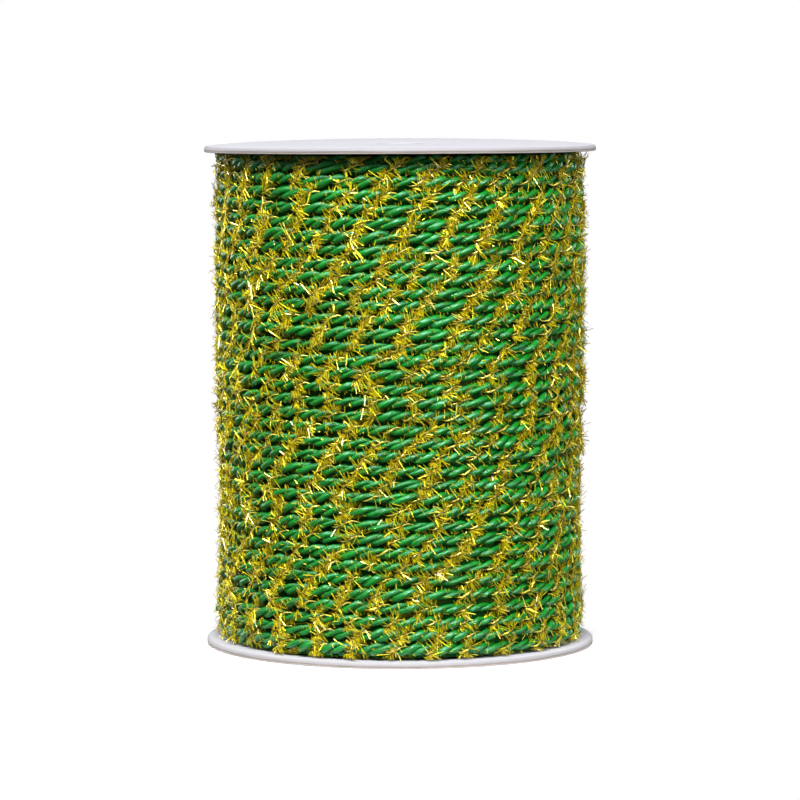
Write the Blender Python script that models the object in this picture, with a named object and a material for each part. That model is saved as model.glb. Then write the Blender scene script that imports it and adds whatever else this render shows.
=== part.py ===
"""A spool of metallic cord: two white card discs with a cylinder of cord wound between them.

Metres, +Z up. The origin is the centre of the bottom disc's lower face, on the surface that the spool stands on.
"""

import math
from collections import namedtuple

import bmesh
import bpy

# Driving dimensions
DISC_RADIUS = 0.0320
DISC_THICKNESS = 0.0009
SPOOL_HEIGHT = 0.0824
HOLE_RADIUS = 0.0040
CORD_PITCH = 0.00219
CORD_RIDGE_DEPTH = 0.0008
CLEARANCE = 0.0003

# The punched rim of a disc: its upper edge is drawn down in a curve, its lower edge is nearly sharp
RIM_CURVE_RADIUS = 0.00040
RIM_CURVE_STEPS = 3
RIM_BURR = 0.00008

# The wound form from bottom to top: height on the spool, and radius to the crests of the rows
Section = namedtuple("Section", "height crest_radius")
WOUND_FORM = (
    Section(height=0.0012, crest_radius=0.0300),
    Section(height=0.0060, crest_radius=0.0301),
    Section(height=0.0140, crest_radius=0.0299),
    Section(height=0.0270, crest_radius=0.0298),
    Section(height=0.0350, crest_radius=0.0300),
    Section(height=0.0460, crest_radius=0.0303),
    Section(height=0.0700, crest_radius=0.0304),
    Section(height=0.0812, crest_radius=0.0301),
)

# Facets around each round shape
DISC_FACETS = 72
WINDING_FACETS = 32

# Worked out from the driving dimensions
TOP_DISC_BASE = SPOOL_HEIGHT - DISC_THICKNESS
WINDING_LOW = DISC_THICKNESS + CLEARANCE
WINDING_HIGH = TOP_DISC_BASE - CLEARANCE

# Points of the rows that lie nearer than this to a flat end of the winding are left out
END_MARGIN = CORD_PITCH / 10

# Edges sharper than this stay sharp in the smooth shading
SHARP_ANGLE = math.radians(35)


def finish(name, colour, roughness, metallic=0.0):
    """A Principled material. The colour is linear red, green and blue."""
    material = bpy.data.materials.new(name)
    material.use_nodes = True
    shader = material.node_tree.nodes["Principled BSDF"]
    shader.inputs["Base Color"].default_value = (*colour, 1.0)
    shader.inputs["Roughness"].default_value = roughness
    shader.inputs["Metallic"].default_value = metallic
    return material


def add_object(name, mesh, material, height=0.0):
    """A named object at a height on the spool's axis, in its material and shaded smooth."""
    mesh.materials.append(material)
    piece = bpy.data.objects.new(name, mesh)
    piece.location.z = height
    bpy.context.collection.objects.link(piece)
    mesh.shade_smooth()
    mesh.set_sharp_from_angle(angle=SHARP_ANGLE)
    return piece


def disc_section():
    """The disc's cross-section at +X, from the hole's upper edge outward, down the rim and back to the hole."""
    centre_radius = DISC_RADIUS - RIM_CURVE_RADIUS
    centre_height = DISC_THICKNESS - RIM_CURVE_RADIUS
    points = [(HOLE_RADIUS, DISC_THICKNESS)]
    for step in range(RIM_CURVE_STEPS + 1):
        turn = math.radians(90) * (1 - step / RIM_CURVE_STEPS)
        points.append(
            (
                centre_radius + RIM_CURVE_RADIUS * math.cos(turn),
                centre_height + RIM_CURVE_RADIUS * math.sin(turn),
            )
        )
    points.append((DISC_RADIUS, RIM_BURR))
    points.append((DISC_RADIUS - RIM_BURR, 0.0))
    points.append((HOLE_RADIUS, 0.0))
    return points


def disc_mesh():
    """The cross-section spun once around the axis."""
    shape = bmesh.new()
    section = [shape.verts.new((radius, 0.0, height)) for radius, height in disc_section()]
    edges = [
        shape.edges.new((section[i], section[(i + 1) % len(section)]))
        for i in range(len(section))
    ]
    bmesh.ops.spin(
        shape,
        geom=section + edges,
        cent=(0.0, 0.0, 0.0),
        axis=(0.0, 0.0, 1.0),
        angle=math.tau,
        steps=DISC_FACETS,
        use_merge=True,
    )
    bmesh.ops.recalc_face_normals(shape, faces=shape.faces)
    mesh = bpy.data.meshes.new("card disc")
    shape.to_mesh(mesh)
    shape.free()
    return mesh


def crest_radius(height):
    """The radius to the crests at a height, eased between the sections of the wound form."""
    for below, above in zip(WOUND_FORM, WOUND_FORM[1:]):
        if height <= above.height:
            share = max(0.0, (height - below.height) / (above.height - below.height))
            eased = share * share * (3 - 2 * share)
            return below.crest_radius + (above.crest_radius - below.crest_radius) * eased
    return WOUND_FORM[-1].crest_radius


def ring_point(shape, facet, radius, height):
    """A vertex at one of the winding's facets, counted around the axis."""
    angle = math.tau * facet / WINDING_FACETS
    return shape.verts.new((radius * math.cos(angle), radius * math.sin(angle), height))


def winding_column(shape, facet, half_rows):
    """One upright line of the winding's side, crest and trough by turns.

    The rows fall by one pitch in a turn, so each column starts a little lower than the last. Heights past an end
    all share that end's one vertex, which leaves the ends flat.
    """
    low = ring_point(shape, facet, crest_radius(WINDING_LOW) - CORD_RIDGE_DEPTH, WINDING_LOW)
    high = ring_point(shape, facet, crest_radius(WINDING_HIGH) - CORD_RIDGE_DEPTH, WINDING_HIGH)
    column = []
    for half_row in range(half_rows):
        height = WINDING_LOW + (half_row / 2 - facet / WINDING_FACETS) * CORD_PITCH
        if height < WINDING_LOW + END_MARGIN:
            column.append(low)
        elif height > WINDING_HIGH - END_MARGIN:
            column.append(high)
        else:
            depth = CORD_RIDGE_DEPTH if half_row % 2 == 0 else 0.0
            column.append(ring_point(shape, facet, crest_radius(height) - depth, height))
    return column


def winding_mesh():
    """The wound cord: one ridge in a spiral around the outside, flat ends and a plain round bore."""
    shape = bmesh.new()
    half_rows = 2 * math.ceil((WINDING_HIGH - WINDING_LOW) / CORD_PITCH + 1) + 1
    columns = [winding_column(shape, facet, half_rows) for facet in range(WINDING_FACETS)]
    bore_low = [ring_point(shape, facet, HOLE_RADIUS, WINDING_LOW) for facet in range(WINDING_FACETS)]
    bore_high = [ring_point(shape, facet, HOLE_RADIUS, WINDING_HIGH) for facet in range(WINDING_FACETS)]
    for facet in range(WINDING_FACETS):
        following = (facet + 1) % WINDING_FACETS
        here = columns[facet]
        # After a whole turn the spiral has come down to the row below
        there = columns[following] if following else [columns[0][0]] * 2 + columns[0][:-2]
        for half_row in range(half_rows - 1):
            corners = (here[half_row], there[half_row], there[half_row + 1], here[half_row + 1])
            face = list(dict.fromkeys(corners))
            if len(face) > 2:
                shape.faces.new(face)
        shape.faces.new((here[0], bore_low[facet], bore_low[following], there[0]))
        shape.faces.new((here[-1], there[-1], bore_high[following], bore_high[facet]))
        shape.faces.new((bore_low[facet], bore_high[facet], bore_high[following], bore_low[following]))
    bmesh.ops.recalc_face_normals(shape, faces=shape.faces)
    mesh = bpy.data.meshes.new("cord winding")
    shape.to_mesh(mesh)
    shape.free()
    return mesh


for old in list(bpy.data.objects):
    bpy.data.objects.remove(old, do_unlink=True)

card = finish("white-lined card", colour=(0.79, 0.79, 0.84), roughness=0.6)
cord = finish("green and gold cord", colour=(0.10, 0.22, 0.02), roughness=0.45)

bottom_disc = add_object("disc_bottom", disc_mesh(), card)
winding = add_object("cord_winding", winding_mesh(), cord)
top_disc = add_object("disc_top", disc_mesh(), card, height=TOP_DISC_BASE)
winding.parent = bottom_disc
top_disc.parent = bottom_disc
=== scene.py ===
import math

import bmesh
import bpy
import numpy as np
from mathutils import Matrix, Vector


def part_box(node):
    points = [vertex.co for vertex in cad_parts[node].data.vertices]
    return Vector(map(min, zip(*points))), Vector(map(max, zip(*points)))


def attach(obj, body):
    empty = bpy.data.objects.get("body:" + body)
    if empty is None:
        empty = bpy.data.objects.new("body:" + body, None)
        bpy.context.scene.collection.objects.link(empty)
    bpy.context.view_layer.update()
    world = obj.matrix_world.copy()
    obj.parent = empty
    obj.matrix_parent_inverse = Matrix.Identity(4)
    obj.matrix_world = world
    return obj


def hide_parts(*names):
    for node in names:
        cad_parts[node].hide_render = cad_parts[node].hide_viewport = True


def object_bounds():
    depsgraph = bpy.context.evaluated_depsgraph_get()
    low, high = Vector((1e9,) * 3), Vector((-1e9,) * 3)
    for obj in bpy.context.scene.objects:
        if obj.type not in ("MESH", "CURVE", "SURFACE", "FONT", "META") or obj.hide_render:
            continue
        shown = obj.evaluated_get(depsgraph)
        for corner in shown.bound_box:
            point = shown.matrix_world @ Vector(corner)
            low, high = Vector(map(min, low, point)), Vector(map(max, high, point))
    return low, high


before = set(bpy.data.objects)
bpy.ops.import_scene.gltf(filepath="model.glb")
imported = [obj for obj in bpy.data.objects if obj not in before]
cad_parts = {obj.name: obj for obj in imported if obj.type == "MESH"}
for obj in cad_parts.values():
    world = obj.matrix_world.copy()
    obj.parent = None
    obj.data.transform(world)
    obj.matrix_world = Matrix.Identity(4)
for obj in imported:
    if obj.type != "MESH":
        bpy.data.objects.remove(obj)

cad_low, cad_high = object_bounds()
MM = 0.001

# Card discs
# The spool's two ends are punched from grey board with a white paper liner. The punch draws the liner down
# over the upper edge in a curve and leaves the board's grey-brown layers showing below it. A small hole is
# punched at the centre for a spindle, and the wound cord holds the discs apart.

DISC_STEPS = 240
DISC_EDGE_CURVE = 0.42 * MM
DISC_EDGE_BURR = 0.07 * MM
DISC_HOLE_RADIUS = 4.0 * MM
DISC_HOLE_CURVE = 0.03 * MM
DISC_CURVE_STEPS = 6
DISC_SHARP_ANGLE = math.radians(40)
LINER_WHITE = "C0BFC6"
LINER_SHADE = "BBBAC1"
# Painted shade for the liner on the curve of the rim
LINER_RIM_SHADE = "9D9B9F"
BOARD_BROWN = "7C746C"
BOARD_LIGHT = "958C84"
LOWER_LINER = "A8A09E"
# The liner is darkened with painted shade over the curve of the edge, which the lamps light more than the
# flat face, and is fully darkened in this last width of it
RIM_SHADE_FULL_WIDTH = 0.1 * MM
# Shares of the board's thickness, from below, over which the lower liner gives way to the board, and the
# board to the drawn-down liner, and how far their torn edges wander
LOWER_LINER_FADE = (0.24, 0.32)
LINER_FADE = (0.52, 0.59)
TORN_WANDER = 0.14
# The range of noise over which the board's layers go from brown to light
LAYER_NOISE = (0.35, 0.7)
# The discs as they sit: how much wider than the solid, and how far the left-right tilt, the front-back tilt
# and the board's bends along x and along y lift the rim
DISC_SEATS = {
    "disc_bottom": (0.0, (0.0, 0.08 * MM, 0.0, 0.0)),
    "disc_top": (0.22 * MM, (0.145 * MM, -0.10 * MM, -0.26 * MM, 0.10 * MM)),
}


def linear(hex_colour):
    """An sRGB hex value as linear red, green, blue and alpha."""
    channels = [int(hex_colour[i:i + 2], 16) / 255 for i in (0, 2, 4)]
    return (*(c / 12.92 if c <= 0.04045 else ((c + 0.055) / 1.055) ** 2.4 for c in channels), 1.0)


def add_node(tree, kind, inputs=None, **settings):
    """Adds a node with its settings, and gives each input, by name or place, a value or a link.

    A link may be given as a socket, or as a node, whose first output in use is taken.
    """
    made = tree.nodes.new(kind)
    for name, value in settings.items():
        setattr(made, name, value)
    for key, value in (inputs or {}).items():
        live = [socket for socket in made.inputs if socket.enabled]
        socket = made.inputs[key] if isinstance(key, int) else next(s for s in live if s.name == key)
        if isinstance(value, bpy.types.Node):
            value = next(s for s in value.outputs if s.enabled)
        if isinstance(value, bpy.types.NodeSocket):
            tree.links.new(value, socket)
        else:
            socket.default_value = value
    return made


def add_material(name):
    """A new node material with its shader, and the node tree to build the finish in."""
    material = bpy.data.materials.new(name)
    material.use_nodes = True
    tree = material.node_tree
    return material, tree, tree.nodes["Principled BSDF"]


def add_piece(name, mesh, slot, *nodes):
    """A finished mesh as a piece that rides on the spool and stands for the CAD nodes, which it hides; the
    slot is not used.
    """
    piece = bpy.data.objects.new(name, mesh)
    bpy.context.scene.collection.objects.link(piece)
    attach(piece, "root")
    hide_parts(*nodes)
    return piece


def spin_outline(outline, steps):
    """A closed outline of radii and heights spun once around the axis, as a shape still being edited."""
    shape = bmesh.new()
    section = [shape.verts.new((radius, 0.0, height)) for radius, height in outline]
    edges = [shape.edges.new((section[i - 1], section[i])) for i in range(len(section))]
    bmesh.ops.spin(
        shape,
        geom=section + edges,
        cent=(0, 0, 0),
        axis=(0, 0, 1),
        angle=math.tau,
        steps=steps,
        use_merge=True,
    )
    bmesh.ops.recalc_face_normals(shape, faces=shape.faces)
    return shape


def disc_section(radius, thickness):
    """The disc's cross-section as radius and height, from the hole's lower edge out and back to the hole."""
    points = [(DISC_HOLE_RADIUS, 0.0), (radius - DISC_EDGE_BURR, 0.0), (radius, DISC_EDGE_BURR)]
    for step in range(DISC_CURVE_STEPS + 1):
        turn = math.radians(90) * step / DISC_CURVE_STEPS
        points.append(
            (
                radius - DISC_EDGE_CURVE * (1 - math.cos(turn)),
                thickness - DISC_EDGE_CURVE * (1 - math.sin(turn)),
            )
        )
    for step in range(DISC_CURVE_STEPS + 1):
        turn = math.radians(90) * step / DISC_CURVE_STEPS
        points.append(
            (
                DISC_HOLE_RADIUS + DISC_HOLE_CURVE * (1 - math.sin(turn)),
                thickness - DISC_HOLE_CURVE * (1 - math.cos(turn)),
            )
        )
    return points


def disc_mesh(name, low, high, wider, lifts, material):
    """One disc, tilted and bent, with each point's share of the thickness kept for the material."""
    radius, thickness = high.x + wider, high.z - low.z
    shape = spin_outline(disc_section(radius, thickness), DISC_STEPS)
    mesh = bpy.data.meshes.new(name)
    shape.to_mesh(mesh)
    shape.free()
    share = mesh.attributes.new("board_height", "FLOAT", "POINT")
    share.data.foreach_set("value", [vertex.co.z / thickness for vertex in mesh.vertices])
    for vertex in mesh.vertices:
        x, y = vertex.co.x / radius, vertex.co.y / radius
        vertex.co.z += low.z + sum(lift * part for lift, part in zip(lifts, (x, y, x * x, y * y)))
    mesh.shade_smooth()
    mesh.set_sharp_from_angle(angle=DISC_SHARP_ANGLE)
    mesh.materials.append(material)
    return mesh


def card_material():
    """Paper-lined grey board: a flat matt white face, and fibrous brown-grey layers on the punched edge."""
    material, tree, shader = add_material("paper-lined grey board")
    place = add_node(tree, "ShaderNodeTexCoord").outputs["Object"]
    height = add_node(tree, "ShaderNodeAttribute", attribute_name="board_height").outputs["Fac"]
    # Paper fibres, about half a millimetre long, which is coarser than real ones so that they show, and
    # faint clouds of about 6 mm in the white
    fibres = add_node(tree, "ShaderNodeTexNoise", {"Vector": place, "Scale": 2.0 / MM, "Detail": 4.0})
    clouds = add_node(tree, "ShaderNodeTexNoise", {"Vector": place, "Scale": 0.16 / MM, "Detail": 3.0})
    white = add_node(
        tree,
        "ShaderNodeMix",
        {"Factor": clouds, "A": linear(LINER_WHITE), "B": linear(LINER_SHADE)},
        data_type="RGBA",
    )
    # The board's layers run round the punched edge, seven to a millimetre, in patches 4 mm long
    stretched = add_node(
        tree, "ShaderNodeMapping", {"Vector": place, "Scale": (0.25 / MM, 0.25 / MM, 7.0 / MM)}
    )
    layers = add_node(tree, "ShaderNodeTexNoise", {"Vector": stretched, "Scale": 1.0, "Detail": 3.0})
    layer_share = add_node(
        tree,
        "ShaderNodeMapRange",
        {"Value": layers, "From Min": LAYER_NOISE[0], "From Max": LAYER_NOISE[1]},
    )
    brown = add_node(
        tree,
        "ShaderNodeMix",
        {"Factor": layer_share, "A": linear(BOARD_BROWN), "B": linear(BOARD_LIGHT)},
        data_type="RGBA",
    )
    # Painted shade: the liner is darker over the outer edge's curve, which the lamps light more than the
    # flat face
    level = add_node(tree, "ShaderNodeVectorMath", {0: place, 1: (1.0, 1.0, 0.0)}, operation="MULTIPLY")
    from_axis = add_node(tree, "ShaderNodeVectorMath", {0: level}, operation="LENGTH").outputs["Value"]
    rim_shade_share = add_node(
        tree,
        "ShaderNodeMapRange",
        {
            "Value": from_axis,
            "From Min": cad_high.x - DISC_EDGE_CURVE,
            "From Max": cad_high.x - RIM_SHADE_FULL_WIDTH,
        },
    )
    liner = add_node(
        tree,
        "ShaderNodeMix",
        {"Factor": rim_shade_share, "A": white, "B": linear(LINER_RIM_SHADE)},
        data_type="RGBA",
    )
    # The liners' torn edges wander a little, in waves of about 9 mm
    waves = add_node(tree, "ShaderNodeTexNoise", {"Vector": place, "Scale": 0.11 / MM, "Detail": 0.0})
    torn = add_node(tree, "ShaderNodeMath", {0: waves, 1: TORN_WANDER, 2: height}, operation="MULTIPLY_ADD")
    above = add_node(
        tree,
        "ShaderNodeMapRange",
        {"Value": torn, "From Min": LINER_FADE[0], "From Max": LINER_FADE[1]},
        interpolation_type="SMOOTHSTEP",
    )
    below = add_node(
        tree,
        "ShaderNodeMapRange",
        {"Value": torn, "From Min": LOWER_LINER_FADE[0], "From Max": LOWER_LINER_FADE[1]},
        interpolation_type="SMOOTHSTEP",
    )
    board = add_node(
        tree, "ShaderNodeMix", {"Factor": below, "A": linear(LOWER_LINER), "B": brown}, data_type="RGBA"
    )
    colour = add_node(tree, "ShaderNodeMix", {"Factor": above, "A": board, "B": liner}, data_type="RGBA")
    bump = add_node(tree, "ShaderNodeBump", {"Height": fibres, "Strength": 0.12, "Distance": 0.05 * MM})
    tree.links.new(colour.outputs[2], shader.inputs["Base Color"])
    tree.links.new(bump.outputs["Normal"], shader.inputs["Normal"])
    shader.inputs["Roughness"].default_value = 0.55
    shader.inputs["Specular IOR Level"].default_value = 0.35
    return material


card = card_material()
for node, (wider, lifts) in DISC_SEATS.items():
    name = node + "_card"
    disc_low, disc_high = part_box(node)
    add_piece(name, disc_mesh(name, disc_low, disc_high, wider, lifts, card), "disc_card", node)

# Lower layers of cord
# Under the turns that show lie earlier layers of the same cord, packed tight. Only a dark green ridge of
# them, darkened with painted shade, is seen in each gap between two rows, so they are one ribbed body, with
# a plain bore in its middle.

CORD_PITCH = 2.19 * MM
CORD_RADIUS = 1.00 * MM
LOWER_STEPS = 72
LOWER_POINTS_A_ROW = 4
LOWER_CREST_DEPTH = 1.45 * MM
LOWER_GROOVE_DEPTH = 0.45 * MM
LOWER_SHARP_ANGLE = math.radians(50)
# Faces that reach no farther out than this past the hole's radius are the bore's wall
BORE_MARGIN = 0.1 * MM
# Both colours of the lower yarn are darkened with painted shade, for the shade deep between the rows
SHADED_LOWER_GREEN = "0A5412"
SHADED_LOWER_OLIVE = "5A5A0A"
# The range of noise over which the yarn goes from green to olive
OLIVE_NOISE = (0.52, 0.68)
BORE_GREY = "8D857C"

winding_low, winding_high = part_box("cord_winding")


def measured_form():
    """Heights and crest radii of the wound form, read from the solid, one pair for each row."""
    points = np.array([vertex.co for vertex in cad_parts["cord_winding"].data.vertices])
    radii = np.hypot(points[:, 0], points[:, 1])
    rows = np.round((points[:, 2] - winding_low.z) / CORD_PITCH).astype(int)
    heights = [winding_low.z + row * CORD_PITCH for row in range(rows.max() + 1)]
    return heights, [radii[rows == row].max() for row in range(rows.max() + 1)]


form_heights, form_radii = measured_form()


def crest_radius(height):
    """The radius of the rows' crests at a height, or at several."""
    return np.interp(height, form_heights, form_radii)


def lower_layers_mesh(material, wall_material):
    """The ribbed body, spun from its outline, with the bore's wall in its own material."""
    rows = round((winding_high.z - winding_low.z) / CORD_PITCH)
    count = rows * LOWER_POINTS_A_ROW
    outline = []
    for i in range(count + 1):
        height = winding_high.z + (winding_low.z - winding_high.z) * i / count
        groove = LOWER_GROOVE_DEPTH * (0.5 - 0.5 * math.cos(math.tau * i / LOWER_POINTS_A_ROW))
        outline.append((float(crest_radius(height)) - LOWER_CREST_DEPTH - groove, height))
    outline += [(DISC_HOLE_RADIUS, winding_low.z), (DISC_HOLE_RADIUS, winding_high.z)]
    shape = spin_outline(outline, LOWER_STEPS)
    for face in shape.faces:
        if max(vertex.co.xy.length for vertex in face.verts) < DISC_HOLE_RADIUS + BORE_MARGIN:
            face.material_index = 1
    mesh = bpy.data.meshes.new("cord_lower_layers")
    shape.to_mesh(mesh)
    shape.free()
    mesh.shade_smooth()
    mesh.set_sharp_from_angle(angle=LOWER_SHARP_ANGLE)
    mesh.materials.append(material)
    mesh.materials.append(wall_material)
    return mesh


def lower_cord_material():
    """The same satin yarn, deep in the winding: matt, darkened with painted shade, and streaked where the
    metallic ply crosses.
    """
    material, tree, shader = add_material("shaded satin yarn")
    place = add_node(tree, "ShaderNodeTexCoord").outputs["Object"]
    # Patches about as wide as a row
    patches = add_node(tree, "ShaderNodeTexNoise", {"Vector": place, "Scale": 0.42 / MM, "Detail": 4.0})
    share = add_node(
        tree,
        "ShaderNodeMapRange",
        {"Value": patches, "From Min": OLIVE_NOISE[0], "From Max": OLIVE_NOISE[1]},
    )
    colour = add_node(
        tree,
        "ShaderNodeMix",
        {"Factor": share, "A": linear(SHADED_LOWER_GREEN), "B": linear(SHADED_LOWER_OLIVE)},
        data_type="RGBA",
    )
    bump = add_node(tree, "ShaderNodeBump", {"Height": patches, "Strength": 0.6, "Distance": 0.3 * MM})
    tree.links.new(colour.outputs[2], shader.inputs["Base Color"])
    tree.links.new(bump.outputs["Normal"], shader.inputs["Normal"])
    shader.inputs["Roughness"].default_value = 0.7
    shader.inputs["Specular IOR Level"].default_value = 0.15
    return material


def bore_material():
    """Plain matt grey-brown kraft paper, the wall of the bore."""
    material, tree, shader = add_material("kraft paper bore")
    place = add_node(tree, "ShaderNodeTexCoord").outputs["Object"]
    fibres = add_node(tree, "ShaderNodeTexNoise", {"Vector": place, "Scale": 0.9 / MM, "Detail": 4.0})
    colour = add_node(
        tree,
        "ShaderNodeMix",
        {"Factor": fibres, "A": linear(BORE_GREY), "B": linear(BOARD_LIGHT)},
        data_type="RGBA",
    )
    tree.links.new(colour.outputs[2], shader.inputs["Base Color"])
    shader.inputs["Roughness"].default_value = 0.8
    return material


add_piece(
    "cord_lower_layers",
    lower_layers_mesh(lower_cord_material(), bore_material()),
    "cord_green",
    "cord_winding",
)

# Green satin plies
# Two of the cord's three plies are glossy green viscose yarn, laid together with the metallic ply in a Z
# twist and wound in one falling spiral. Each ply is a tube swept along the cord's line, whose turns rise
# from lower left to upper right wherever the cord is seen from outside.

TWISTS_A_TURN = 28.106
GREEN_POINTS_A_TWIST = 11
GREEN_LAY_RADIUS = 0.53 * MM
GREEN_RADIUS = 0.47 * MM
GREEN_SIDES = 8
GREEN_PHASES = {"cord_ply_green_a": math.radians(114), "cord_ply_green_b": math.radians(-114)}
# How far the filaments turn round their ply, in radians along its length
FILAMENT_SLANT = 0.5 / MM
START_AZIMUTH = math.radians(90)
# The twist is uneven: the cord gains some twists in its first rows, and from there swings ahead and back
TWIST_START = 0.05
TWIST_GAIN = 1.5
TWIST_GAIN_ROWS = (4.5, 14.5)
TWIST_SWING = 0.36
TWIST_SWING_ROWS = 8.0
# Random wanders along the cord: size, slowest and quickest waves a turn, and seed. The slack's seed changes
# from ply to ply.
WANDER_WAVES = 7
HEIGHT_WANDER = (0.10 * MM, 0.31, 9.3, 11)
RADIUS_WANDER = (0.12 * MM, 0.23, 7.7, 12)
TWIST_WANDER = (1.3, 0.3, 9.1, 14)
SLACK_WANDER = (0.2, 2.3, 60.0)
# The cord fills the clearance between the solids, all but a little above the bottom disc
SOLID_CLEARANCE = 0.3 * MM
BOTTOM_CLEARANCE = 0.15 * MM
# Two more turns stay in the rows at the ends and sink in under them, by this share of what they run past
SUNK_TURNS = 2
SINK_RATE = 0.9
GREEN_DEEP = "004C02"
GREEN_LIGHT = "029624"
SATIN_GLEAM = "D8FFFF"
# The range of noise over which the bundles of filaments go from deep to light
BUNDLE_NOISE = (0.34, 0.62)
row_top = winding_high.z + SOLID_CLEARANCE - CORD_RADIUS
row_bottom = winding_low.z - SOLID_CLEARANCE + CORD_RADIUS + BOTTOM_CLEARANCE
cord_turns = (row_top - row_bottom) / CORD_PITCH + SUNK_TURNS


def wander(turns, size, slowest, quickest, seed):
    """A smooth random wander along the cord, made of waves between two rates, in waves a turn."""
    dice = np.random.RandomState(seed)
    rates = np.geomspace(slowest, quickest, WANDER_WAVES)
    waves = [(rate, dice.uniform(0, math.tau)) for rate in rates]
    total = sum(np.sin(math.tau * rate * turns + start) for rate, start in waves)
    return size * total / math.sqrt(WANDER_WAVES)


def cord_line(name, points_a_twist, seed, first=0.0, last=1.0, pinch=0.0):
    """The cord's centreline between two shares of its length, as a line of edges.

    Each point has the direction out of the winding, the angle of the twist so far, and how slack the ply
    lies there. A pinched ply is drawn in wherever it turns away from the outside. Where the spiral runs past
    an end row it stays in that row and sinks in under it, so no wedge is left at a disc.
    """
    count = int(cord_turns * (last - first) * TWISTS_A_TURN * points_a_twist)
    turns = np.linspace(first * cord_turns, last * cord_turns, count)
    azimuth = START_AZIMUTH + math.tau * turns
    spiral = row_top + CORD_PITCH - turns * CORD_PITCH
    height = np.clip(spiral, row_bottom, row_top)
    sunk = SINK_RATE * np.abs(spiral - height)
    height = height + wander(turns, *HEIGHT_WANDER)
    radius = crest_radius(height) - CORD_RADIUS - sunk + wander(turns, *RADIUS_WANDER)
    first_row, last_row = TWIST_GAIN_ROWS
    gaining = np.clip((turns - first_row) / (last_row - first_row), 0.0, 1.0)
    gained = TWIST_START + TWIST_GAIN * gaining * gaining * (3.0 - 2.0 * gaining)
    swung = TWIST_SWING * np.sin(math.tau * np.maximum(turns - last_row, 0.0) / TWIST_SWING_ROWS)
    twist = math.tau * (TWISTS_A_TURN * turns + gained + swung) + wander(turns, *TWIST_WANDER)
    slack = 1.0 + wander(turns, *SLACK_WANDER, seed=seed)
    slack = slack * (1.0 - pinch * (0.5 - 0.5 * np.cos(twist)))
    outward = np.stack([np.cos(azimuth), np.sin(azimuth), np.zeros(count)], axis=1)
    points = outward * radius[:, None]
    points[:, 2] = height
    mesh = bpy.data.meshes.new(name)
    mesh.from_pydata(points.tolist(), [(i, i + 1) for i in range(count - 1)], [])
    mesh.attributes.new("outward", "FLOAT_VECTOR", "POINT").data.foreach_set("vector", outward.ravel())
    mesh.attributes.new("twist", "FLOAT", "POINT").data.foreach_set("value", twist)
    mesh.attributes.new("slack", "FLOAT", "POINT").data.foreach_set("value", slack)
    return mesh


def new_tree(name, sizes):
    """An empty geometry tree with named inputs, and its input and output nodes."""
    tree = bpy.data.node_groups.new(name, "GeometryNodeTree")
    tree.interface.new_socket("Geometry", in_out="INPUT", socket_type="NodeSocketGeometry")
    tree.interface.new_socket("Geometry", in_out="OUTPUT", socket_type="NodeSocketGeometry")
    for size, kind in sizes.items():
        tree.interface.new_socket(size, in_out="INPUT", socket_type=kind)
    return tree, tree.nodes.new("NodeGroupInput"), tree.nodes.new("NodeGroupOutput")


def run_tree(name, line, tree, values):
    """Runs a tree on a line and returns its result as a plain mesh."""
    carrier = bpy.data.objects.new(name, line)
    bpy.context.scene.collection.objects.link(carrier)
    modifier = carrier.modifiers.new(tree.name, "NODES")
    modifier.node_group = tree
    for item in tree.interface.items_tree:
        if item.in_out == "INPUT" and item.name in values:
            modifier[item.identifier] = values[item.name]
    depsgraph = bpy.context.evaluated_depsgraph_get()
    mesh = bpy.data.meshes.new_from_object(carrier.evaluated_get(depsgraph), depsgraph=depsgraph)
    mesh.name = name
    bpy.data.objects.remove(carrier)
    bpy.data.meshes.remove(line)
    return mesh


def laid_offset(tree, given):
    """The nodes that shift a point of the cord's line to one ply's centre.

    Returns the offset, its direction from the cord's centre, the direction out of the winding, and the
    cosine between the two.
    """
    outward = add_node(
        tree, "GeometryNodeInputNamedAttribute", {"Name": "outward"}, data_type="FLOAT_VECTOR"
    ).outputs["Attribute"]
    twist = add_node(
        tree, "GeometryNodeInputNamedAttribute", {"Name": "twist"}, data_type="FLOAT"
    ).outputs["Attribute"]
    angle = add_node(tree, "ShaderNodeMath", {0: twist, 1: given.outputs["Phase"]}, operation="ADD")
    cosine = add_node(tree, "ShaderNodeMath", {0: angle}, operation="COSINE").outputs[0]
    sine = add_node(tree, "ShaderNodeMath", {0: angle}, operation="SINE")
    out_part = add_node(tree, "ShaderNodeVectorMath", {0: outward, "Scale": cosine}, operation="SCALE")
    up_part = add_node(tree, "ShaderNodeCombineXYZ", {"Z": sine})
    aim = add_node(tree, "ShaderNodeVectorMath", {0: out_part, 1: up_part}, operation="ADD").outputs[0]
    slack = add_node(tree, "GeometryNodeInputNamedAttribute", {"Name": "slack"}, data_type="FLOAT")
    lay_radius = given.outputs["Lay Radius"]
    reach = add_node(tree, "ShaderNodeMath", {0: lay_radius, 1: slack}, operation="MULTIPLY")
    offset = add_node(tree, "ShaderNodeVectorMath", {0: aim, "Scale": reach}, operation="SCALE").outputs[0]
    return offset, aim, outward, cosine


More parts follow.
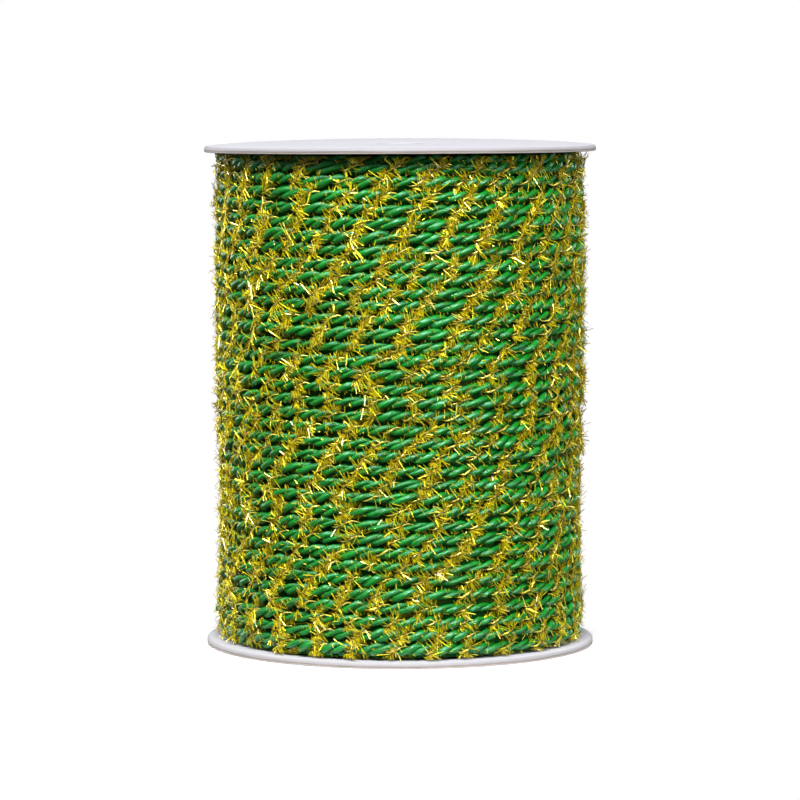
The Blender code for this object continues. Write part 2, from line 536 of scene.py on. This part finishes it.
def ply_tree():
    """Sweeps one ply around the cord's line, and keeps where each point lies around and along the yarn."""
    tree, given, result = new_tree(
        "twisted ply",
        {
            "Phase": "NodeSocketFloat",
            "Lay Radius": "NodeSocketFloat",
            "Ply Radius": "NodeSocketFloat",
            "Sides": "NodeSocketInt",
            "Filament Slant": "NodeSocketFloat",
            "Yarn": "NodeSocketMaterial",
        },
    )
    size = given.outputs
    offset = laid_offset(tree, given)[0]
    laid = add_node(tree, "GeometryNodeSetPosition", {"Geometry": size["Geometry"], "Offset": offset})
    curve = add_node(tree, "GeometryNodeMeshToCurve", {"Mesh": laid})
    length = add_node(tree, "GeometryNodeSplineParameter").outputs["Length"]
    around = add_node(tree, "GeometryNodeSplineParameter").outputs["Factor"]
    along_kept = add_node(tree, "GeometryNodeCaptureAttribute", {"Geometry": curve}, domain="POINT")
    along_kept.capture_items.new("FLOAT", "Length")
    tree.links.new(length, along_kept.inputs["Length"])
    ring = add_node(
        tree,
        "GeometryNodeCurvePrimitiveCircle",
        {"Resolution": size["Sides"], "Radius": size["Ply Radius"]},
        mode="RADIUS",
    )
    around_kept = add_node(tree, "GeometryNodeCaptureAttribute", {"Geometry": ring}, domain="POINT")
    around_kept.capture_items.new("FLOAT", "Factor")
    tree.links.new(around, around_kept.inputs["Factor"])
    fullness = add_node(tree, "GeometryNodeInputNamedAttribute", {"Name": "slack"}, data_type="FLOAT")
    tube = add_node(
        tree,
        "GeometryNodeCurveToMesh",
        {
            "Curve": along_kept.outputs[0],
            "Profile Curve": around_kept.outputs[0],
            "Scale": fullness.outputs["Attribute"],
            "Fill Caps": True,
        },
    )
    turn = add_node(
        tree, "ShaderNodeMath", {0: around_kept.outputs["Factor"], 1: math.tau}, operation="MULTIPLY"
    )
    slanted = add_node(
        tree,
        "ShaderNodeMath",
        {0: along_kept.outputs["Length"], 1: size["Filament Slant"], 2: turn},
        operation="MULTIPLY_ADD",
    )
    yarn_place = add_node(
        tree,
        "ShaderNodeCombineXYZ",
        {
            "X": add_node(tree, "ShaderNodeMath", {0: slanted}, operation="COSINE"),
            "Y": add_node(tree, "ShaderNodeMath", {0: slanted}, operation="SINE"),
            "Z": along_kept.outputs["Length"],
        },
    )
    kept = add_node(
        tree,
        "GeometryNodeStoreNamedAttribute",
        {"Geometry": tube, "Name": "yarn", "Value": yarn_place},
        data_type="FLOAT_VECTOR",
        domain="POINT",
    )
    smooth = add_node(tree, "GeometryNodeSetShadeSmooth", {"Geometry": kept})
    real = add_node(tree, "GeometryNodeRealizeInstances", {"Geometry": smooth})
    covered = add_node(tree, "GeometryNodeSetMaterial", {"Geometry": real, "Material": size["Yarn"]})
    tree.links.new(covered.outputs[0], result.inputs[0])
    return tree


def satin_material():
    """Viscose yarn, bright filaments side by side: a long soft highlight and fine streaks along the ply."""
    material, tree, shader = add_material("green viscose yarn")
    yarn = add_node(tree, "ShaderNodeAttribute", attribute_name="yarn").outputs["Vector"]
    # Bundles of filaments about 0.15 mm across and 7 mm long, in a place given as radii across and metres
    # along the ply. Single filaments, a tenth as wide, would not show.
    stretched = add_node(tree, "ShaderNodeMapping", {"Vector": yarn, "Scale": (3.4, 3.4, 0.15 / MM)})
    bundles = add_node(tree, "ShaderNodeTexNoise", {"Vector": stretched, "Scale": 1.0, "Detail": 3.0})
    share = add_node(
        tree,
        "ShaderNodeMapRange",
        {"Value": bundles, "From Min": BUNDLE_NOISE[0], "From Max": BUNDLE_NOISE[1]},
    )
    colour = add_node(
        tree,
        "ShaderNodeMix",
        {"Factor": share, "A": linear(GREEN_DEEP), "B": linear(GREEN_LIGHT)},
        data_type="RGBA",
    )
    bump = add_node(tree, "ShaderNodeBump", {"Height": bundles, "Strength": 0.7, "Distance": 0.2 * MM})
    tree.links.new(colour.outputs[2], shader.inputs["Base Color"])
    tree.links.new(bump.outputs["Normal"], shader.inputs["Normal"])
    shader.inputs["Roughness"].default_value = 0.33
    shader.inputs["Specular IOR Level"].default_value = 1.0
    shader.inputs["Specular Tint"].default_value = linear(SATIN_GLEAM)
    return material


satin = satin_material()
twisted_ply = ply_tree()
for seed, (name, phase) in enumerate(GREEN_PHASES.items()):
    ply = run_tree(
        name,
        cord_line(name, GREEN_POINTS_A_TWIST, seed),
        twisted_ply,
        {
            "Phase": phase,
            "Lay Radius": GREEN_LAY_RADIUS,
            "Ply Radius": GREEN_RADIUS,
            "Sides": GREEN_SIDES,
            "Filament Slant": FILAMENT_SLANT,
            "Yarn": satin,
        },
    )
    add_piece(name, ply, "cord_green", "cord_winding")

# Metallic ply
# The third ply is a thin thread wrapped in gold film. It lies in the groove between the two green plies and
# shows as a short bright streak once in every twist of the cord.

GOLD_POINTS_A_TWIST = 8
GOLD_LAY_RADIUS = 0.78 * MM
GOLD_RADIUS = 0.16 * MM
GOLD_PINCH = 0.8
GOLD_SEED = 5
GOLD_SIDES = 5
GOLD_BRIGHT = "FFEE08"
# Painted shade at the roots of the strips
GOLD_ROOT_SHADE = "705600"
GOLD_DEEP = "B48600"
GOLD_GREENISH = "E6DA00"
# The thread's film is paler than the strips', partly its own tone and partly a painted highlight for the
# bright streak it shows
THREAD_PALE_HIGHLIGHT = "FFE468"
LACQUER_YELLOW = "FFF0A8"
# The tone, from 0 to 1, at which the film is greenish, and the tones that the thread takes
GREENISH_TONE = 0.35
THREAD_TONES = (0.5, 1.0)
THREAD_TONE_SEED = 21
# The share of a strip's length, from its root, over which its painted root shade fades out
ROOT_SHADE_SHARE = 0.3


def film_material(name, brightest, roughness):
    """Lacquered aluminium film: a crinkled lemon-gold mirror, in which each strip has its own tone and
    painted shade near its root.
    """
    material, tree, shader = add_material(name)
    place = add_node(tree, "ShaderNodeTexCoord").outputs["Object"]
    tone = add_node(tree, "ShaderNodeAttribute", attribute_name="film_tone").outputs["Fac"]
    # Creases in the film, about 0.4 mm apart
    creases = add_node(tree, "ShaderNodeTexNoise", {"Vector": place, "Scale": 2.5 / MM, "Detail": 2.0})
    ramp = add_node(tree, "ShaderNodeValToRGB", {"Fac": tone})
    ramp.color_ramp.elements[0].color = linear(GOLD_DEEP)
    ramp.color_ramp.elements[1].color = linear(brightest)
    middle = ramp.color_ramp.elements.new(GREENISH_TONE)
    middle.color = linear(GOLD_GREENISH)
    bump = add_node(tree, "ShaderNodeBump", {"Height": creases, "Strength": 0.5, "Distance": 0.15 * MM})
    # A strip is darkened near its root with painted shade, for the shade where it is pressed between the
    # plies
    reach = add_node(tree, "ShaderNodeAttribute", attribute_name="film_reach").outputs["Fac"]
    past_root_shade = add_node(tree, "ShaderNodeMapRange", {"Value": reach, "From Max": ROOT_SHADE_SHARE})
    colour = add_node(
        tree, "ShaderNodeMix", {"Factor": past_root_shade, "A": linear(GOLD_ROOT_SHADE), "B": ramp}, data_type="RGBA"
    )
    tree.links.new(colour.outputs[2], shader.inputs["Base Color"])
    tree.links.new(bump.outputs["Normal"], shader.inputs["Normal"])
    shader.inputs["Metallic"].default_value = 0.5
    shader.inputs["Roughness"].default_value = roughness
    shader.inputs["Specular IOR Level"].default_value = 1.0
    shader.inputs["Specular Tint"].default_value = linear(LACQUER_YELLOW)
    shader.inputs["Coat Weight"].default_value = 1.0
    shader.inputs["Coat Roughness"].default_value = 0.18
    shader.inputs["Coat IOR"].default_value = 1.65
    return material


def store_tone(mesh, seed):
    """A random tone from the brighter half for each point of the metallic thread, which has no painted root
    shade.
    """
    dice = np.random.RandomState(seed)
    tone = mesh.attributes.new("film_tone", "FLOAT", "POINT")
    tone.data.foreach_set("value", dice.uniform(*THREAD_TONES, len(mesh.vertices)))
    reach = mesh.attributes.new("film_reach", "FLOAT", "POINT")
    reach.data.foreach_set("value", np.ones(len(mesh.vertices)))


gold_thread = run_tree(
    "cord_ply_gold",
    cord_line("cord_ply_gold", GOLD_POINTS_A_TWIST, GOLD_SEED, pinch=GOLD_PINCH),
    twisted_ply,
    {
        "Phase": 0.0,
        "Lay Radius": GOLD_LAY_RADIUS,
        "Ply Radius": GOLD_RADIUS,
        "Sides": GOLD_SIDES,
        "Filament Slant": FILAMENT_SLANT,
        "Yarn": film_material("gold film wrapping", THREAD_PALE_HIGHLIGHT, roughness=0.3),
    },
)
store_tone(gold_thread, THREAD_TONE_SEED)
add_piece("cord_ply_gold", gold_thread, "cord_gold", "cord_winding")

# Tinsel tufts
# The metallic ply grips thousands of short strips of the same gold film, cut to about 2 mm. Twisting the
# cord traps them between the green plies, so they burst out in a tuft at each twist and lie fanned over the
# rows around it. Single ones also show between the two green plies.

TUFT_PIECES = (
    # name, first and last share of the cord, twist from the metallic ply, strips, shortest, longest
    ("tinsel_upper", 0.0, 1 / 3, 0.0, 39500, 0.9 * MM, 2.6 * MM),
    ("tinsel_middle", 1 / 3, 2 / 3, 0.0, 39500, 0.9 * MM, 2.6 * MM),
    ("tinsel_lower", 2 / 3, 1.0, 0.0, 39500, 0.9 * MM, 2.6 * MM),
    ("tinsel_between", 0.0, 1.0, math.pi, 12500, 0.4 * MM, 1.2 * MM),
)
STRIP_ROOT_RADIUS = 0.95 * MM
STRIP_WIDTH = 0.115 * MM
STRIP_THICKNESS = 0.05 * MM
# How far a three-sided bar of radius 1 reaches across, along its X and its Y
BAR_ACROSS = (1.5, 1.73)
# More strips are short than long: the power that a random share of the length's range is raised to
STRIP_SHORTNESS = 1.4
# Strips near a disc are folded back, by this many times what would pass these heights
STRIP_LOWEST = cad_low.z + 1.05 * MM
STRIP_HIGHEST = cad_high.z - 1.2 * MM
STRIP_FOLD = 1.25
# How far out of the winding a strip's root must face to be built at all, as a cosine
STRIP_FACING = 0.0
# The size of a spell of full or thin tufts, and the random range of noise under which a strip is lost there
TUFT_SPELL = 3.2 * MM
TUFT_LOSS = (0.3, 0.5)
# How far along the cord a strip may leave from its place in the tuft
STRIP_STRAY = 0.5 * MM
# How far along the cord two strips must be to stand in different fans
FAN_SPREAD = 1.6 * MM
# How far either way a fan slants along the ply, in radians, and the range of noise that this stands for
FAN_SLANT = 0.8
FAN_NOISE = (0.3, 0.7)
# How far either way a strip's own slant departs from its fan's, in radians
STRIP_SLANT = 0.7
# How far chance may overrule the side of its row that a strip lies on
STRIP_CHANCE = 0.9
# A strip's lift off the winding in radians: at the sides of the cord, what it loses where it faces out, and
# what the few steep ones add, by the power of a random share
STRIP_LIFT = 0.45
STRIP_OUTER_LIFT = -0.5
STRIP_STEEPEST = 0.5
STRIP_STEEP_POWER = 3.0
# How far a strip's tip is pushed aside at random, and pulled in to the winding, as shares of its length
TIP_PUSH = 0.06
TIP_PULL = -0.08
# The first seed of a piece's random draws, and how far apart those of two pieces are
TUFT_SEED = 31
TUFT_SEED_STEP = 20


def tuft_tree():
    """Strews film strips along the metallic ply where it faces out, and turns each its own way."""
    tree, given, result = new_tree(
        "tinsel tufts",
        {
            "Phase": "NodeSocketFloat",
            "Lay Radius": "NodeSocketFloat",
            "Strips": "NodeSocketInt",
            "Shortest": "NodeSocketFloat",
            "Longest": "NodeSocketFloat",
            "Width": "NodeSocketFloat",
            "Thickness": "NodeSocketFloat",
            "Lowest": "NodeSocketFloat",
            "Highest": "NodeSocketFloat",
            "Seed": "NodeSocketInt",
            "Film": "NodeSocketMaterial",
        },
    )
    size = given.outputs
    offset, aim, outward, facing = laid_offset(tree, given)
    laid = add_node(tree, "GeometryNodeSetPosition", {"Geometry": size["Geometry"], "Offset": offset})
    curve = add_node(tree, "GeometryNodeMeshToCurve", {"Mesh": laid})
    roots = add_node(
        tree, "GeometryNodeCurveToPoints", {"Curve": curve, "Count": size["Strips"]}, mode="COUNT"
    )
    tangent = roots.outputs["Tangent"]
    hidden = add_node(tree, "FunctionNodeCompare", {"A": facing, "B": STRIP_FACING}, operation="LESS_THAN")
    facing_out = add_node(
        tree, "GeometryNodeDeleteGeometry", {"Geometry": roots, "Selection": hidden}, domain="POINT"
    )

    # Every random draw has its own seed
    draws = {}
    for place, (name, low, high) in enumerate(
        (
            ("side", -STRIP_CHANCE, STRIP_CHANCE),
            ("slant", -STRIP_SLANT, STRIP_SLANT),
            ("lift", 0.0, 1.0),
            ("size", 0.0, 1.0),
            ("roll", 0.0, math.tau),
            ("tone", 0.0, 1.0),
            ("push_x", -1.0, 1.0),
            ("push_y", -1.0, 1.0),
            ("push_z", -1.0, 1.0),
            ("stray", -1.0, 1.0),
            ("loss", *TUFT_LOSS),
        )
    ):
        seed = add_node(tree, "ShaderNodeMath", {0: size["Seed"], 1: float(place)}, operation="ADD")
        draws[name] = add_node(tree, "FunctionNodeRandomValue", {"Min": low, "Max": high, "Seed": seed})

    # Some tufts have lost more strips than others
    fullness = add_node(
        tree, "ShaderNodeTexNoise", {"Scale": 1 / TUFT_SPELL, "Detail": 1.0}, noise_dimensions="3D"
    )
    lost = add_node(tree, "FunctionNodeCompare", {"A": fullness, "B": draws["loss"]}, operation="LESS_THAN")
    kept = add_node(
        tree, "GeometryNodeDeleteGeometry", {"Geometry": facing_out, "Selection": lost}, domain="POINT"
    )
    stray = add_node(tree, "ShaderNodeMath", {0: draws["stray"], 1: STRIP_STRAY}, operation="MULTIPLY")
    stray_offset = add_node(tree, "ShaderNodeVectorMath", {0: tangent, "Scale": stray}, operation="SCALE")
    shown = add_node(tree, "GeometryNodeSetPosition", {"Geometry": kept, "Offset": stray_offset})

    # A strip leaves away from the middle of its row, slanted along the ply and lifted off the winding.
    # Neighbours share most of their slant, so they stand in fans.
    fan_noise = add_node(
        tree, "ShaderNodeTexNoise", {"Scale": 1 / FAN_SPREAD, "Detail": 1.0}, noise_dimensions="3D"
    )
    fan = add_node(
        tree,
        "ShaderNodeMapRange",
        {
            "Value": fan_noise,
            "From Min": FAN_NOISE[0],
            "From Max": FAN_NOISE[1],
            "To Min": -FAN_SLANT,
            "To Max": FAN_SLANT,
        },
        clamp=False,
    )
    slant = add_node(tree, "ShaderNodeMath", {0: fan, 1: draws["slant"]}, operation="ADD")
    up_share = add_node(tree, "ShaderNodeSeparateXYZ", {0: aim}).outputs["Z"]
    leaning = add_node(tree, "ShaderNodeMath", {0: up_share, 1: draws["side"]}, operation="ADD")
    side = add_node(tree, "ShaderNodeMath", {0: leaning}, operation="SIGN")
    crossing = add_node(tree, "ShaderNodeVectorMath", {0: outward, 1: tangent}, operation="CROSS_PRODUCT")
    across = add_node(tree, "ShaderNodeVectorMath", {0: crossing, "Scale": side}, operation="SCALE")
    slant_cosine = add_node(tree, "ShaderNodeMath", {0: slant}, operation="COSINE")
    slant_sine = add_node(tree, "ShaderNodeMath", {0: slant}, operation="SINE")
    across_part = add_node(
        tree, "ShaderNodeVectorMath", {0: across, "Scale": slant_cosine}, operation="SCALE"
    )
    along_part = add_node(tree, "ShaderNodeVectorMath", {0: tangent, "Scale": slant_sine}, operation="SCALE")
    flat_way = add_node(tree, "ShaderNodeVectorMath", {0: across_part, 1: along_part}, operation="ADD")
    # Few strips stand up steeply. Those at the sides of the cord have to rise more to clear it.
    steep = add_node(tree, "ShaderNodeMath", {0: draws["lift"], 1: STRIP_STEEP_POWER}, operation="POWER")
    lift = add_node(
        tree, "ShaderNodeMath", {0: steep, 1: STRIP_STEEPEST, 2: STRIP_LIFT}, operation="MULTIPLY_ADD"
    )
    lift = add_node(
        tree, "ShaderNodeMath", {0: facing, 1: STRIP_OUTER_LIFT, 2: lift}, operation="MULTIPLY_ADD"
    )
    lift_cosine = add_node(tree, "ShaderNodeMath", {0: lift}, operation="COSINE")
    lift_sine = add_node(tree, "ShaderNodeMath", {0: lift}, operation="SINE")
    flat_part = add_node(
        tree, "ShaderNodeVectorMath", {0: flat_way, "Scale": lift_cosine}, operation="SCALE"
    )
    lifted_part = add_node(tree, "ShaderNodeVectorMath", {0: outward, "Scale": lift_sine}, operation="SCALE")
    way = add_node(tree, "ShaderNodeVectorMath", {0: flat_part, 1: lifted_part}, operation="ADD")

    share = add_node(tree, "ShaderNodeMath", {0: draws["size"], 1: STRIP_SHORTNESS}, operation="POWER")
    length = add_node(
        tree, "ShaderNodeMapRange", {"Value": share, "To Min": size["Shortest"], "To Max": size["Longest"]}
    )
    push = add_node(
        tree, "ShaderNodeCombineXYZ", {"X": draws["push_x"], "Y": draws["push_y"], "Z": draws["push_z"]}
    )
    pull = add_node(tree, "ShaderNodeVectorMath", {0: outward, "Scale": TIP_PULL}, operation="SCALE")
    push = add_node(
        tree,
        "ShaderNodeVectorMath",
        {0: push, 1: (TIP_PUSH, TIP_PUSH, TIP_PUSH), 2: pull},
        operation="MULTIPLY_ADD",
    )
    push = add_node(tree, "ShaderNodeVectorMath", {0: push, "Scale": length}, operation="SCALE")
    pushed = add_node(
        tree,
        "GeometryNodeStoreNamedAttribute",
        {"Geometry": shown, "Name": "tip_push", "Value": push},
        data_type="FLOAT_VECTOR",
        domain="POINT",
    )
    toned = add_node(
        tree,
        "GeometryNodeStoreNamedAttribute",
        {"Geometry": pushed, "Name": "film_tone", "Value": draws["tone"]},
        data_type="FLOAT",
        domain="POINT",
    )

    # One strip: a flattened three-sided bar from 0 at its root to 1 at its tip along Z
    bar = add_node(
        tree, "GeometryNodeMeshCylinder", {"Vertices": 3, "Radius": 1.0, "Depth": 1.0}, fill_type="NGON"
    )
    strip = add_node(
        tree, "GeometryNodeTransform", {"Geometry": bar.outputs["Mesh"], "Translation": (0.0, 0.0, 0.5)}
    )
    bar_place = add_node(tree, "GeometryNodeInputPosition")
    along = add_node(tree, "ShaderNodeSeparateXYZ", {0: bar_place}).outputs["Z"]
    measured = add_node(
        tree,
        "GeometryNodeStoreNamedAttribute",
        {"Geometry": strip, "Name": "film_reach", "Value": along},
        data_type="FLOAT",
        domain="POINT",
    )

    # It points its own way, rolled by chance around its length
    aimed = add_node(tree, "FunctionNodeAlignRotationToVector", {"Vector": way}, axis="Z")
    roll = add_node(
        tree, "FunctionNodeAxisAngleToRotation", {"Axis": (0.0, 0.0, 1.0), "Angle": draws["roll"]}
    )
    rolled = add_node(
        tree, "FunctionNodeRotateRotation", {"Rotation": aimed, "Rotate By": roll}, rotation_space="LOCAL"
    )
    girth = add_node(
        tree, "ShaderNodeCombineXYZ", {"X": size["Thickness"], "Y": size["Width"], "Z": length}
    )
    true_girth = add_node(
        tree,
        "ShaderNodeVectorMath",
        {0: girth, 1: (1 / BAR_ACROSS[0], 1 / BAR_ACROSS[1], 1.0)},
        operation="MULTIPLY",
    )
    strips = add_node(
        tree,
        "GeometryNodeInstanceOnPoints",
        {"Points": toned, "Instance": measured, "Rotation": rolled, "Scale": true_girth},
    )
    real = add_node(tree, "GeometryNodeRealizeInstances", {"Geometry": strips})
    kept_push = add_node(
        tree, "GeometryNodeInputNamedAttribute", {"Name": "tip_push"}, data_type="FLOAT_VECTOR"
    )
    kept_reach = add_node(tree, "GeometryNodeInputNamedAttribute", {"Name": "film_reach"}, data_type="FLOAT")
    tip_offset = add_node(
        tree, "ShaderNodeVectorMath", {0: kept_push, "Scale": kept_reach}, operation="SCALE"
    )
    curled = add_node(tree, "GeometryNodeSetPosition", {"Geometry": real, "Offset": tip_offset})

    # What would pass a disc is folded back from its face
    final_place = add_node(tree, "GeometryNodeInputPosition")
    final_height = add_node(tree, "ShaderNodeSeparateXYZ", {0: final_place}).outputs["Z"]
    past_high = add_node(tree, "ShaderNodeMath", {0: final_height, 1: size["Highest"]}, operation="SUBTRACT")
    past_high = add_node(tree, "ShaderNodeMath", {0: past_high, 1: 0.0}, operation="MAXIMUM")
    past_low = add_node(tree, "ShaderNodeMath", {0: size["Lowest"], 1: final_height}, operation="SUBTRACT")
    past_low = add_node(tree, "ShaderNodeMath", {0: past_low, 1: 0.0}, operation="MAXIMUM")
    past = add_node(tree, "ShaderNodeMath", {0: past_low, 1: past_high}, operation="SUBTRACT")
    fold = add_node(tree, "ShaderNodeMath", {0: past, 1: STRIP_FOLD}, operation="MULTIPLY")
    fold_offset = add_node(tree, "ShaderNodeCombineXYZ", {"Z": fold})
    folded = add_node(tree, "GeometryNodeSetPosition", {"Geometry": curled, "Offset": fold_offset})
    flat = add_node(tree, "GeometryNodeSetShadeSmooth", {"Geometry": folded, "Shade Smooth": False})
    clean = add_node(tree, "GeometryNodeRemoveAttribute", {"Geometry": flat, "Name": "tip_push"})
    covered = add_node(tree, "GeometryNodeSetMaterial", {"Geometry": clean, "Material": size["Film"]})
    tree.links.new(covered.outputs[0], result.inputs[0])
    return tree


film = film_material("gold film strip", GOLD_BRIGHT, roughness=0.36)
tufts = tuft_tree()
for place, (name, first, last, twist, strips, shortest, longest) in enumerate(TUFT_PIECES):
    tuft = run_tree(
        name,
        cord_line(name, GOLD_POINTS_A_TWIST, GOLD_SEED, first, last),
        tufts,
        {
            "Phase": twist,
            "Lay Radius": STRIP_ROOT_RADIUS,
            "Strips": strips,
            "Shortest": shortest,
            "Longest": longest,
            "Width": STRIP_WIDTH,
            "Thickness": STRIP_THICKNESS,
            "Lowest": STRIP_LOWEST,
            "Highest": STRIP_HIGHEST,
            "Seed": TUFT_SEED + TUFT_SEED_STEP * place,
            "Film": film,
        },
    )
    add_piece(name, tuft, "cord_gold", "cord_winding")

# Studio
# A white sweep under the spool, which fades to plain white away from it, a large soft light above the
# camera, weak ones at the left and right, and two behind. The camera looks slightly down from 0.72 m away.

FLOOR_RADIUS = 4.0
FLOOR_SIDES = 96
FLOOR_HEIGHT = -0.12 * MM
FLOOR_WHITE = "FAFAFA"
FLOOR_FADE = (31.0 * MM, 37.0 * MM)
FLOOR_GLOW = 0.12
WORLD_GLOW = 0.08
PLAIN_WHITE = (1.0, 1.0, 1.0, 1.0)
CAMERA_PLACE = (0.0, -0.7148, 0.1034)
CAMERA_PITCH = math.radians(84.935)
CAMERA_LENS = 195.2
CAMERA_SENSOR = 36.0
CAMERA_RANGE = (0.01, 20.0)
LIGHTS_AIM = Vector((0.0, 0.0, 0.04))
LIGHTS = (
    # name, place, width, height, power
    ("key", (-0.10, -0.72, 0.95), 0.70, 0.30, 27.0),
    ("fill", (0.80, -0.55, 0.35), 0.4, 0.6, 3.7),
    ("left", (-1.00, -0.12, 0.40), 0.4, 0.6, 1.5),
    ("back_left", (-0.80, 0.80, 0.25), 0.4, 0.4, 4.0),
    ("back_right", (0.80, 0.80, 0.25), 0.4, 0.4, 2.8),
)


def floor_material():
    """A matt white paper sweep, which glows plain white away from the spool, as in a bright studio."""
    material, tree, shader = add_material("white paper sweep")
    place = add_node(tree, "ShaderNodeTexCoord").outputs["Object"]
    distance = add_node(tree, "ShaderNodeVectorMath", {0: place}, operation="LENGTH").outputs["Value"]
    fade = add_node(
        tree,
        "ShaderNodeMapRange",
        {"Value": distance, "From Min": FLOOR_FADE[0], "From Max": FLOOR_FADE[1]},
        interpolation_type="SMOOTHSTEP",
    )
    # Its glow lights the spool less than it shows, so the cord keeps its shadows
    ray = add_node(tree, "ShaderNodeLightPath").outputs["Is Camera Ray"]
    strength = add_node(tree, "ShaderNodeMapRange", {"Value": ray, "To Min": FLOOR_GLOW, "To Max": 1.0})
    glow = add_node(tree, "ShaderNodeEmission", {"Color": PLAIN_WHITE, "Strength": strength})
    # The paper's grain, about 1 mm
    grain = add_node(tree, "ShaderNodeTexNoise", {"Vector": place, "Scale": 0.9 / MM})
    bump = add_node(tree, "ShaderNodeBump", {"Height": grain, "Strength": 0.05, "Distance": 0.05 * MM})
    shader.inputs["Base Color"].default_value = linear(FLOOR_WHITE)
    shader.inputs["Roughness"].default_value = 0.9
    tree.links.new(bump.outputs[0], shader.inputs["Normal"])
    mixed = add_node(tree, "ShaderNodeMixShader", {0: fade, 1: shader, 2: glow})
    tree.links.new(mixed.outputs[0], tree.nodes["Material Output"].inputs["Surface"])
    return material


sweep = bmesh.new()
bmesh.ops.create_circle(sweep, cap_ends=True, segments=FLOOR_SIDES, radius=FLOOR_RADIUS)
floor_mesh = bpy.data.meshes.new("paper_sweep")
sweep.to_mesh(floor_mesh)
sweep.free()
floor_mesh.materials.append(floor_material())
floor = bpy.data.objects.new("paper_sweep", floor_mesh)
bpy.context.scene.collection.objects.link(floor)
floor.location.z = FLOOR_HEIGHT

for name, place, width, height, power in LIGHTS:
    lamp = bpy.data.lights.new(name, "AREA")
    lamp.shape = "RECTANGLE"
    lamp.size = width
    lamp.size_y = height
    lamp.energy = power
    light = bpy.data.objects.new(name, lamp)
    light.location = place
    light.rotation_euler = (LIGHTS_AIM - light.location).to_track_quat("-Z", "Y").to_euler()
    bpy.context.scene.collection.objects.link(light)

# The world is plain white to the camera and gives the spool only a weak light
world = bpy.data.worlds.new("studio")
world.use_nodes = True
sky = world.node_tree
ray = add_node(sky, "ShaderNodeLightPath").outputs["Is Camera Ray"]
seen = sky.nodes["Background"]
seen.inputs["Color"].default_value = PLAIN_WHITE
lit = add_node(sky, "ShaderNodeBackground", {"Color": PLAIN_WHITE, "Strength": WORLD_GLOW})
either = add_node(sky, "ShaderNodeMixShader", {0: ray, 1: lit, 2: seen})
sky.links.new(either.outputs[0], sky.nodes["World Output"].inputs["Surface"])
bpy.context.scene.world = world

lens = bpy.data.cameras.new("camera")
lens.lens = CAMERA_LENS
lens.sensor_width = CAMERA_SENSOR
lens.clip_start, lens.clip_end = CAMERA_RANGE
camera = bpy.data.objects.new("camera", lens)
camera.location = CAMERA_PLACE
camera.rotation_euler = (CAMERA_PITCH, 0.0, 0.0)
bpy.context.scene.collection.objects.link(camera)
bpy.context.scene.camera = camera
bpy.context.scene.view_settings.view_transform = "Standard"
